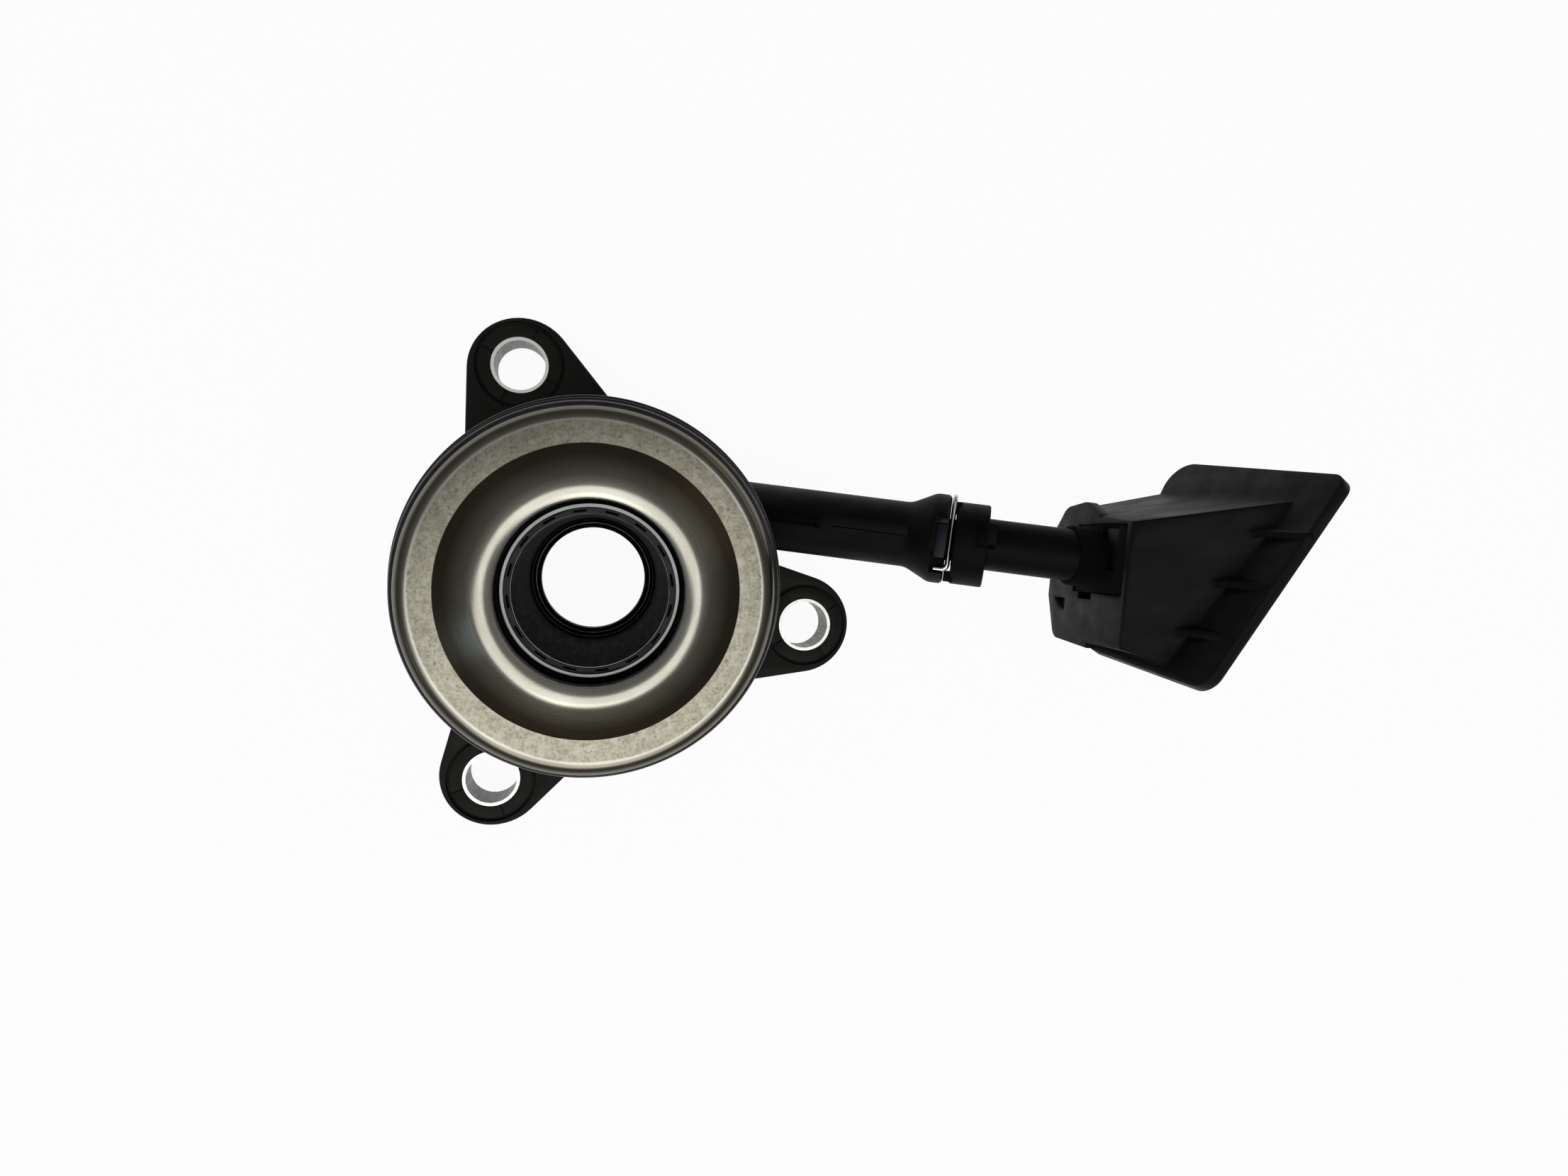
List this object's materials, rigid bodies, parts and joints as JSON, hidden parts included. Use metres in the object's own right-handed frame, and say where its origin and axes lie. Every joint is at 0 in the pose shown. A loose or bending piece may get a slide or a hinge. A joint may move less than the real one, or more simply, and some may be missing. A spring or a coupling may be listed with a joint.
{
  "type": "hydraulic clutch release bearing",
  "caption": "Hydraulic clutch release bearing: ring piston and ball bearing on an eared moulded housing, with an inclined line pipe, clipped connector and closure.",
  "frame": {"origin": "on the bearing axis in the mounting face, which is the back of the ears", "axes": "+Z along the bearing axis towards the face ring, +X roughly towards the line connector, +Y up in the picture"},
  "size_m": [0.1635, 0.0996, 0.0669],
  "materials": {
    "housing_plastic": "moulded glass-filled plastic, faint sheen",
    "tube_steel": "dark coated, drawn and honed",
    "seal_rubber": "plain",
    "grommet_rubber": "plain, very matt",
    "spring_steel": "drawn wire, oiled",
    "stop_plastic": "smooth moulded",
    "connector_plastic": "smooth moulded",
    "closure_plastic": "fine spark-eroded grain",
    "bright_wire": "bright spring wire",
    "piston_plastic": "smooth moulded",
    "wiper_plastic": "plain",
    "carrier_metal": "dark phosphate",
    "bearing_steel": "ground",
    "cap_steel": "pressed sheet, oiled",
    "shield_rubber": "plain",
    "face_steel": "pressed and hardened, fine satin with a warm tone",
    "ball_steel": "polished",
    "cage_plastic": "moulded",
    "sleeve_steel": "zinc plated"
  },
  "bodies": {
    "slave_cylinder": {"housing": "housing_plastic", "sleeve_top": "sleeve_steel", "sleeve_bottom": "sleeve_steel", "sleeve_right": "sleeve_steel", "guide_tube": "tube_steel", "shaft_seal": "seal_rubber", "seal_garter": "spring_steel", "face_oring": "seal_rubber", "stop_ring": "stop_plastic", "link_tube": "connector_plastic", "link_seal": "seal_rubber", "lock_collar": "connector_plastic", "closure": "closure_plastic", "tube_grommet": "grommet_rubber", "line_port": "connector_plastic", "port_clip": "bright_wire"},
    "carriage": {"piston": "piston_plastic", "piston_seal": "seal_rubber", "piston_wiper": "wiper_plastic", "bearing_carrier": "carrier_metal", "preload_spring": "spring_steel", "centring_washer": "bearing_steel", "outer_race": "bearing_steel", "retaining_cap": "cap_steel", "front_shield": "shield_rubber", "rear_shield": "shield_rubber"},
    "rotor": {"face_ring": "face_steel"},
    "cage": {"balls": "ball_steel", "ball_cage": "cage_plastic"},
    "clip": {"wire_clip": "bright_wire"}
  },
  "joints": [
    {"name": "release_travel", "type": "slide", "parent": "slave_cylinder", "child": "carriage", "axis": [0, 0, 1], "range_m": [-0.012, 0], "stiffness_N_per_m": 4000, "springref_m": 0.01, "deforming": ["preload_spring"]},
    {"name": "face_spin", "type": "hinge", "parent": "carriage", "child": "rotor", "pos_m": [0, 0, 0.047], "axis": [0, 0, 1], "continuous": true},
    {"name": "cage_spin", "type": "hinge", "parent": "carriage", "child": "cage", "pos_m": [0, 0, 0.047], "axis": [0, 0, 1], "continuous": true},
    {"name": "clip_release", "type": "slide", "parent": "slave_cylinder", "child": "clip", "axis": [0.1335, 0.9911, 0], "range_m": [0, 0.0026]}
  ],
  "couplings": [
    {"joint": "cage_spin", "follows": "face_spin", "ratio": 0.4347}
  ]
}
